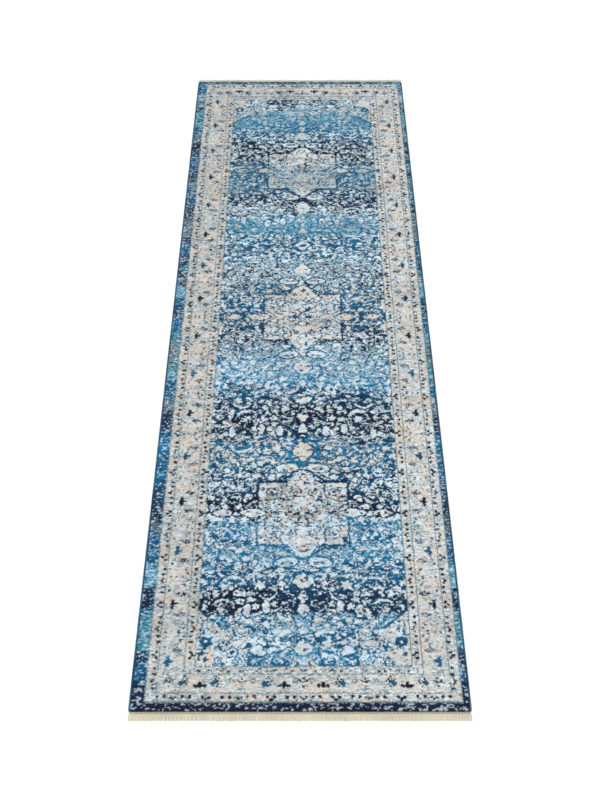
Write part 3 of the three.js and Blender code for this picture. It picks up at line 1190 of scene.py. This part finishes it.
def floor_material():
    """Matt pale floor with the faintest mottle."""
    recipe = Recipe("studio_floor", 0.9, 0.0)
    recipe.shader.inputs["Specular IOR Level"].default_value = 0.0
    mottle = recipe.noise(0.6, (1.0, 1.0, 1.0), 2.0)
    return recipe.colour(recipe.ramp(mottle, [(0.3, grey(0.955)), (0.7, grey(0.965))]))


# ---------------------------------------------------------------------------------------------------
# Pieces
# ---------------------------------------------------------------------------------------------------


class RUG_OT_pile(bpy.types.Operator):
    """Weave the cut pile, knot by knot"""

    bl_idname = "rug.pile"
    bl_label = "Cut Pile"

    def execute(self, context):
        settings = context.scene.rug_pattern
        low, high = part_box("pile")
        columns = round((high.x - low.x) / settings.knot)
        rows = round((high.y - low.y) / settings.knot)
        x = np.linspace(low.x, high.x, columns + 1)
        y = np.linspace(low.y, high.y, rows + 1)
        piece = self.shear(x, y, low, high, settings)
        x_knots = (x[:-1] + x[1:]) / 2 / MM
        y_knots = (y[:-1] + y[1:]) / 2 / MM
        self.colour(piece, weave_colours(x_knots, y_knots, settings))
        outfit(piece, pile_material(), "pile")
        return {"FINISHED"}

    def shear(self, x, y, low, high, settings):
        """The mesh of the pile: shorn tops, a little uneven, and sides down to the ground cloth."""
        draw = np.random.default_rng(settings.seed + 2)
        rows, columns = len(y), len(x)
        jitter = 0.16 * settings.knot
        pull = 0.0003  # how far the sides are drawn in, as a share of the way to the middle

        lift = draw.uniform(-1.0, 0.35, (rows, columns)) * settings.relief
        # The tufts of the rim don't stand up
        for edge in (lift[0], lift[-1], lift[:, 0], lift[:, -1]):
            np.minimum(edge, 0.0, out=edge)
        across, along = np.meshgrid(x, y)
        across = np.clip(across + draw.normal(0.0, jitter, across.shape), low.x, high.x)
        along = np.clip(along + draw.normal(0.0, jitter, along.shape), low.y, high.y)
        top = np.stack([across, along, high.z + lift], axis=-1).reshape(-1, 3)
        rim = rim_of(np.arange(rows * columns).reshape(rows, columns))
        flat_rim = top[rim] * [1.0, 1.0, 0.0]
        middle = flat_rim + [0.0, 0.0, (low.z + high.z) / 2]
        middle[:, :2] *= 1.0 - pull * draw.random((len(rim), 2))
        foot = flat_rim + [0.0, 0.0, low.z]

        middle_ring = len(top) + np.arange(len(rim))
        foot_ring = middle_ring + len(rim)
        sides = [
            np.stack([upper, lower, np.roll(lower, -1), np.roll(upper, -1)], axis=-1)
            for upper, lower in ((rim, middle_ring), (middle_ring, foot_ring))
        ]
        faces = np.concatenate([grid_faces(rows, columns), *sides])
        return new_mesh_object("cut_pile", np.concatenate([top, middle, foot]), faces, smooth=False)

    def colour(self, piece, woven):
        """Colours each corner of each face. woven has a row and a column for each knot."""
        # Painted shade: the sides of the pile are darker than its top, and darker again towards the foot
        side_shade, foot_shade = 0.7, 0.8
        own = 0.62  # how much of a corner's colour is its knot's own
        rows, columns, _ = woven.shape
        # The sides of the pile show the yarns of the knots above them
        up, over = np.arange(rows), np.arange(columns)
        rim_row = np.concatenate([0 * over, up, 0 * over + rows - 1, up[::-1]])
        rim_column = np.concatenate([over, 0 * up + columns - 1, over[::-1], 0 * up])
        side = woven[rim_row, rim_column] * side_shade
        face_colours = np.concatenate([woven.reshape(-1, 3), side, side * foot_shade])
        colours = np.ones((len(face_colours), 4, 4), np.float32)
        colours[:, :, :3] = face_colours[:, None, :]
        # Cut yarn ends spread into each other: a corner takes part of its colour from the knots around it
        padded = np.pad(woven, ((1, 1), (1, 1), (0, 0)), mode="edge")
        around = (padded[:-1, :-1] + padded[1:, :-1] + padded[:-1, 1:] + padded[1:, 1:]) / 4
        for corner, (down, right) in enumerate(((0, 0), (0, 1), (1, 1), (1, 0))):
            met = around[down : down + rows, right : right + columns].reshape(-1, 3)
            colours[: rows * columns, corner, :3] = own * woven.reshape(-1, 3) + (1.0 - own) * met
        knots = piece.data.attributes.new("knots", "FLOAT_COLOR", "CORNER")
        knots.data.foreach_set("color", colours.ravel())


class RUG_OT_ground(bpy.types.Operator):
    """Weave the ground cloth, with its threads in full where it shows at the ends"""

    bl_idname = "rug.ground"
    bl_label = "Ground Cloth"

    def execute(self, context):
        low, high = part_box("ground_cloth")
        pile_low, pile_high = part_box("pile")
        weave = context.scene.rug_making.weave
        x = np.arange(low.x, high.x + weave / 4, weave / 2)
        x = np.append(x[x < high.x - weave / 4], high.x)
        inner = 3 * MM  # woven in full this far under the pile
        shown = np.linspace(low.y, pile_low.y + inner, 16)
        hidden = np.linspace(pile_low.y + inner, pile_high.y - inner, 24)[1:-1]
        y = np.concatenate([shown, hidden, -shown[::-1]])
        warp = np.arange(len(x))[None, :]
        weft = np.arange(len(y))[:, None]
        over = ((warp + weft) % 2).astype(float)
        woven = np.abs(y)[:, None] > pile_high.y - inner
        rise = 0.5 * MM  # from the threads that go under to those that go over
        plain_shade = 0.6
        relief = np.where(woven, (over - 0.5) * rise, 0.0)
        piece = slab("woven_ground", x, y, high.z - rise / 2 + relief, low.z)
        shades = [np.where(woven, over, plain_shade).ravel(), np.full(relief.size, plain_shade)]
        add_shade(piece, np.concatenate(shades))
        outfit(piece, cloth_material("ground_cotton", "cotton"), "ground_cloth")
        return {"FINISHED"}


class RUG_OT_backing(bpy.types.Operator):
    """Spread the latex back coating"""

    bl_idname = "rug.backing"
    bl_label = "Back Coating"

    def execute(self, context):
        low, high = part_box("back_coating")
        rib = 6 * MM
        rib_height, smear_height = 0.12 * MM, 0.15 * MM
        x = np.linspace(low.x, high.x, round((high.x - low.x) / rib) + 1)
        y = np.linspace(low.y, high.y, round((high.y - low.y) / (2 * rib)) + 1)
        draw = np.random.default_rng(context.scene.rug_pattern.seed + 3)
        ribs = rib_height * (0.5 + 0.5 * np.cos(np.arange(len(x)) * math.pi))[None, :]
        smears = smear_height * draw.random((len(y), len(x)))
        piece = slab("latex_back", x, y, high.z, low.z + ribs + smears)
        outfit(piece, latex_material(), "back_coating")
        return {"FINISHED"}


class RUG_OT_sergings(bpy.types.Operator):
    """Wrap each side in serging yarn"""

    bl_idname = "rug.sergings"
    bl_label = "Sergings"

    def execute(self, context):
        material = serging_material()
        for side in SIDES:
            self.wrap(f"serging_{side}", context.scene.rug_making.wrap_pitch, material)
        return {"FINISHED"}

    def wrap(self, node, pitch, material):
        """One sleeve of yarn: a rounded section whose turns stand up along its length."""
        low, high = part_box(node)
        per_turn = 4
        turns = round((high.y - low.y) / pitch)
        rings = turns * per_turn + 1
        sides = 12
        y = np.linspace(low.y, high.y, rings)
        angle = np.linspace(0.0, 2 * math.pi, sides, endpoint=False)
        half_width = (high.x - low.x) / 2
        half_height = (high.z - low.z) / 2
        # A section between an oval and a box, so that the wrap hugs the edge
        squareness = 0.62
        across = np.sign(np.cos(angle)) * np.abs(np.cos(angle)) ** squareness
        up = np.sign(np.sin(angle)) * np.abs(np.sin(angle)) ** squareness
        slant = 0.18 * np.sin(angle)  # in turns
        groove = 0.14  # between two turns, as a share of the section
        phase = np.arange(rings)[:, None] / per_turn + slant[None, :]
        turn_shape = np.abs(np.sin(math.pi * phase)) ** 0.6
        grow = 1.0 - groove + groove * turn_shape
        ring = np.stack(
            [
                (low.x + high.x) / 2 + half_width * across[None, :] * grow,
                np.broadcast_to(y[:, None], grow.shape),
                (low.z + high.z) / 2 + half_height * up[None, :] * grow,
            ],
            axis=-1,
        )
        faces = tube_faces(rings, sides)[:, ::-1]
        last = (rings - 1) * sides
        caps = [np.arange(sides), np.arange(last, last + sides)[::-1]]
        piece = new_mesh_object(f"{node}_wrap", ring, faces, caps)
        outfit(piece, material, node)


class RUG_OT_cords(bpy.types.Operator):
    """Twist the cord inside each serging"""

    bl_idname = "rug.cords"
    bl_label = "Selvedge Cords"

    def execute(self, context):
        material = yarn_material("selvedge_cotton", "cotton")
        for side in SIDES:
            node = f"selvedge_cord_{side}"
            low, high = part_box(node)
            rings = round((high.y - low.y) / (1.5 * MM))
            y = np.linspace(low.y, high.y, rings)
            middle_x, middle_z = (low.x + high.x) / 2, (low.z + high.z) / 2
            path = np.stack([np.full(rings, middle_x), y, np.full(rings, middle_z)], axis=-1)
            turns = (high.y - low.y) / context.scene.rug_making.cord_twist
            radius = np.full((1, rings), (high.x - low.x) / 2 / (1.0 + RIDGE))
            points, faces, caps = twisted_strands(
                path[None], radius, 9, 3, np.array([turns * 2 * math.pi]), np.ones(rings)
            )
            piece = new_mesh_object(f"{node}_twist", points, faces, caps)
            outfit(piece, material, node)
        return {"FINISHED"}


class RUG_OT_tacks(bpy.types.Operator):
    """Sew the bar tack that closes each end of each serging"""

    bl_idname = "rug.tacks"
    bl_label = "Corner Tacks"

    def execute(self, context):
        material = serging_material()
        for end in ENDS:
            for side in SIDES:
                self.sew(f"corner_tack_{end}_{side}", material)
        return {"FINISHED"}

    def sew(self, node, material):
        """One bar tack: threads side by side over the edge, each leaning against the next."""
        low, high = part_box(node)
        threads, places = 9, 9
        inset, below_top = 0.3 * MM, 0.4 * MM
        t = np.linspace(0.0, 1.0, places)
        thread = (high.y - low.y) / threads
        x = low.x + inset + (high.x - low.x - 2 * inset) * t
        z = low.z + (high.z - low.z - below_top) * np.sin(math.pi * t) ** 0.5
        paths = []
        for number in range(threads):
            y = low.y + (number + 0.5) * thread
            lean = 0.25 * thread * (1 if number % 2 else -1)
            paths.append(np.stack([x, y + lean * (2 * t - 1), z], axis=-1))
        radius = np.full((threads, places), 0.62 * thread)
        twist = np.full(threads, 9.0)
        points, faces, caps = twisted_strands(np.array(paths), radius, 6, 2, twist, np.ones(places))
        piece = new_mesh_object(f"{node}_thread", points, faces, caps)
        outfit(piece, material, node)


class RUG_OT_tapes(bpy.types.Operator):
    """Lay the twill heading tape under each end"""

    bl_idname = "rug.tapes"
    bl_label = "Heading Tapes"

    def execute(self, context):
        material = cloth_material("twill_tape", "fringe")
        for end in ENDS:
            node = f"heading_tape_{end}"
            low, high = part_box(node)
            pitch, rib_height = 1.6 * MM, 0.14 * MM
            x = np.linspace(low.x, high.x, round((high.x - low.x) / pitch) + 1)
            y = np.linspace(low.y, high.y, round((high.y - low.y) / pitch) + 1)
            diagonal = (np.arange(len(x))[None, :] + np.arange(len(y))[:, None]) % 4 < 2
            piece = slab(f"{node}_twill", x, y, high.z, low.z + diagonal * rib_height)
            add_shade(piece, np.concatenate([np.full(diagonal.size, 0.7), 1.0 - 0.7 * diagonal.ravel()]))
            outfit(piece, material, node)
        return {"FINISHED"}


class RUG_OT_seams(bpy.types.Operator):
    """Sew the lockstitch seam through the heading and the tape at each end"""

    bl_idname = "rug.seams"
    bl_label = "End Seams"

    def execute(self, context):
        material = yarn_material("spun_thread", "thread", spread=0.15, scale=1800.0, roughness=0.6)
        for end in ENDS:
            for layer, upward in (("top", 1.0), ("under", -1.0)):
                self.sew(context, f"{layer}_stitch_{end}", upward, material)
        return {"FINISHED"}

    def sew(self, context, node, upward, material):
        """One row of stitches: short arched threads with a needle hole between them."""
        low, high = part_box(node)
        stitch = context.scene.rug_making.stitch
        count = round((high.x - low.x) / stitch)
        starts = np.linspace(low.x, high.x, count, endpoint=False)
        stitch = (high.x - low.x) / count
        places = 7
        t = np.linspace(0.0, 1.0, places)
        thickness = min(high.z - low.z, high.y - low.y)
        arch = (np.sin(math.pi * t) ** 0.4 - 1.0) * 0.5 * MM * upward
        base = high.z - thickness / 2 if upward > 0 else low.z + thickness / 2
        paths = np.empty((count, places, 3))
        paths[:, :, 0] = starts[:, None] + stitch * (0.06 + 0.88 * t)[None, :]
        paths[:, :, 1] = (low.y + high.y) / 2 + 0.15 * MM * (t - 0.5)[None, :]
        paths[:, :, 2] = base + arch[None, :]
        radius = np.full((count, places), thickness / 2)
        taper = np.array([0.6, 0.95, 1, 1, 1, 0.95, 0.6])
        points, faces, caps = twisted_strands(paths, radius, 6, 2, np.full(count, 8.0), taper)
        piece = new_mesh_object(f"{node}_thread", points, faces, caps)
        outfit(piece, material, node)


class RUG_OT_fringes(bpy.types.Operator):
    """Comb out the fringe at each end"""

    bl_idname = "rug.fringes"
    bl_label = "Fringes"

    def execute(self, context):
        material = yarn_material("fringe_cotton", "fringe", spread=0.3, scale=1300.0)
        for end, sign in ENDS.items():
            self.comb(context, end, sign, material)
        return {"FINISHED"}

    def comb(self, context, end, sign, material):
        """One fringe: its strands, the loose fibres at their tips, and the header that locks them."""
        making = context.scene.rug_making
        node = f"fringe_{end}"
        low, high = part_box(node)
        draw = np.random.default_rng(context.scene.rug_pattern.seed + (20 if sign < 0 else 40))
        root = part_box("ground_cloth")[1].y + 0.75 * MM
        strands, tips = self.strands(draw, making, low, high, root, sign)
        fibres = self.loose_fibres(draw, tips, sign)
        points, faces, caps = together([strands, fibres, *self.header(making, low, high, root, sign)])
        piece = new_mesh_object(f"{node}_strands", points, faces, caps)
        outfit(piece, material, node, node)

    def strands(self, draw, making, low, high, root, sign):
        """The twisted strands, from their root to the floor, and the places of their tips."""
        count = round((high.x - low.x) / making.strand_pitch)
        places = 14
        margin = 1.2 * MM
        t = np.linspace(0.0, 1.0, places)
        lengths = (high.y if sign > 0 else -low.y) - root + draw.normal(0.0, 0.7 * MM, count)
        lengths += making.far_extra if sign > 0 else 0.0
        radius = 0.5 * making.strand_width * draw.uniform(0.84, 1.06, count)
        x0 = np.linspace(low.x + margin, high.x - margin, count)
        splay = draw.normal(0.0, 0.5 * MM, count)[:, None] * t[None, :] ** 1.5
        sway = draw.normal(0.0, 0.35 * MM, count)[:, None] * np.sin(2.5 * math.pi * t)[None, :]
        # The strands spring up a little from the header before they come down to the floor
        spring = making.strand_arch * draw.uniform(0.6, 1.1, count)[:, None]
        arch = spring * np.sin(math.pi * t**1.6)[None, :]
        start = (low.z + high.z) / 2
        rest = 1.1 * radius[:, None] + 0.15 * MM
        paths = np.empty((count, places, 3))
        paths[:, :, 0] = x0[:, None] + splay + sway
        paths[:, :, 1] = sign * (root + lengths[:, None] * t[None, :])
        paths[:, :, 2] = start + (rest - start) * t[None, :] + arch
        # Slim at the root, so that a strand can turn up past the edge of the weave
        taper = np.array([0.55, 0.60, 0.75, 0.90, 1, 1, 1, 1, 1, 1, 1, 0.95, 0.85, 0.55])
        twist = draw.uniform(9.0, 13.0, count)
        strands = twisted_strands(paths, np.repeat(radius[:, None], places, axis=1), 8, 3, twist, taper)
        return strands, paths[:, -3, :]

    def loose_fibres(self, draw, tips, sign):
        """A few fibres that have worked loose at each tip."""
        each, places = 3, 5
        radius, lowest = 0.28 * MM, 0.35 * MM
        tips = tips.repeat(each, axis=0)
        step = np.linspace(0.0, 1.0, places)
        spread = draw.normal(0.0, 0.9 * MM, len(tips))
        long = draw.uniform(3.0, 5.2, len(tips)) * MM
        lift = 0.5 * MM * draw.random((len(tips), 1))
        away = np.empty((len(tips), places, 3))
        away[:, :, 0] = spread[:, None] * step[None, :] ** 1.4
        away[:, :, 1] = sign * long[:, None] * step[None, :]
        away[:, :, 2] = -0.4 * MM * step[None, :] + lift * step[None, :]
        paths = tips[:, None, :] + away
        paths[:, :, 2] = np.maximum(paths[:, :, 2], lowest)
        radii = np.full((len(tips), places), radius)
        return twisted_strands(paths, radii, 4, 1, np.ones(len(tips)), np.linspace(1.0, 0.5, places))

    def header(self, making, low, high, root, sign):
        """The two twined yarns that lock the strands side by side."""
        count = round((high.x - low.x) / making.strand_pitch)
        steps = count * 6
        x = np.linspace(low.x, high.x, steps)
        middle_y, middle_z = sign * (root + 3.0 * MM), (low.z + high.z) / 2
        radius = np.full((1, steps), 0.38 * MM)
        twist = np.array([count * 2.0])
        yarns = []
        for ply in (0.0, math.pi):
            wave = x / making.strand_pitch * math.pi + ply
            y = middle_y + 0.30 * MM * np.cos(wave)
            z = middle_z + 0.72 * MM * np.sin(wave)
            path = np.stack([x, y, z], axis=-1)
            yarns.append(twisted_strands(path[None], radius, 6, 2, twist, np.ones(steps)))
        return yarns


# ---------------------------------------------------------------------------------------------------
# Stage
# ---------------------------------------------------------------------------------------------------

FLOOR_HALF = 30.0
AIR_STRENGTH = 0.68
# name, place and size in metres, power in watts
LIGHTS = (
    ("overhead_light", (0.0, 0.0, 4.5), 5.0, 132.0),
    ("left_light", (-3.5, -1.5, 3.2), 3.0, 48.0),
    ("right_light", (3.5, -1.0, 3.2), 3.0, 48.0),
)
CAMERA_BEHIND_END = 1.9675  # metres from the near end of the pile to the point under the camera
CAMERA_HEIGHT = 2.6853
CAMERA_TILT = 41.162  # degrees below the horizon
CAMERA_LENS = 62.887


class RUG_OT_stage(bpy.types.Operator):
    """Set the floor, the camera and the studio lights"""

    bl_idname = "rug.stage"
    bl_label = "Stage"

    def execute(self, context):
        scene = context.scene
        corners = [(x * FLOOR_HALF, y * FLOOR_HALF, 0.0) for x, y in ((-1, -1), (1, -1), (1, 1), (-1, 1))]
        floor = new_mesh_object("floor", corners, np.array([[0, 1, 2, 3]]))
        floor.data.materials.append(floor_material())

        camera = bpy.data.objects.new("camera", bpy.data.cameras.new("camera"))
        scene.collection.objects.link(camera)
        near_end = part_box("pile")[0].y
        camera.location = (0.0, near_end - CAMERA_BEHIND_END, CAMERA_HEIGHT)
        camera.rotation_euler = (math.radians(90.0 - CAMERA_TILT), 0.0, 0.0)
        camera.data.lens = CAMERA_LENS
        camera.data.clip_end = 100.0
        scene.camera = camera

        for name, place, size, power in LIGHTS:
            data = bpy.data.lights.new(name, "AREA")
            data.size = size
            data.energy = power
            light = bpy.data.objects.new(name, data)
            light.location = place
            aim = -light.location.normalized()
            light.rotation_euler = aim.to_track_quat("-Z", "Y").to_euler()
            scene.collection.objects.link(light)

        world = bpy.data.worlds.new("studio_air")
        world.use_nodes = True
        background = world.node_tree.nodes["Background"]
        background.inputs["Color"].default_value = (1.0, 1.0, 1.0, 1.0)
        background.inputs["Strength"].default_value = AIR_STRENGTH
        scene.world = world
        scene.view_settings.view_transform = "Standard"
        return {"FINISHED"}


class RUG_PT_panel(bpy.types.Panel):
    """Runner rug tools"""

    bl_idname = "RUG_PT_panel"
    bl_label = "Runner Rug"
    bl_space_type = "VIEW_3D"
    bl_region_type = "UI"
    bl_category = "Rug"

    def draw(self, context):
        layout = self.layout
        for operator in OPERATORS:
            layout.operator(operator.bl_idname)
        for group in ("rug_yarns", "rug_pattern", "rug_making"):
            box = layout.box()
            settings = getattr(context.scene, group)
            for key in settings.__annotations__:
                box.prop(settings, key)


SETTINGS = {"rug_yarns": RugYarnSettings, "rug_pattern": RugPatternSettings, "rug_making": RugMakingSettings}
OPERATORS = (
    RUG_OT_stage,
    RUG_OT_pile,
    RUG_OT_ground,
    RUG_OT_backing,
    RUG_OT_cords,
    RUG_OT_sergings,
    RUG_OT_tacks,
    RUG_OT_tapes,
    RUG_OT_seams,
    RUG_OT_fringes,
)


def register():
    for cls in (*SETTINGS.values(), *OPERATORS, RUG_PT_panel):
        bpy.utils.register_class(cls)
    for name, group in SETTINGS.items():
        setattr(bpy.types.Scene, name, bpy.props.PointerProperty(type=group))


def unregister():
    for name in SETTINGS:
        delattr(bpy.types.Scene, name)
    for cls in (RUG_PT_panel, *reversed(OPERATORS), *reversed(list(SETTINGS.values()))):
        bpy.utils.unregister_class(cls)


def main():
    register()
    for operator in OPERATORS:
        group, name = operator.bl_idname.split(".")
        getattr(getattr(bpy.ops, group), name)()


if __name__ == "__main__":
    main()
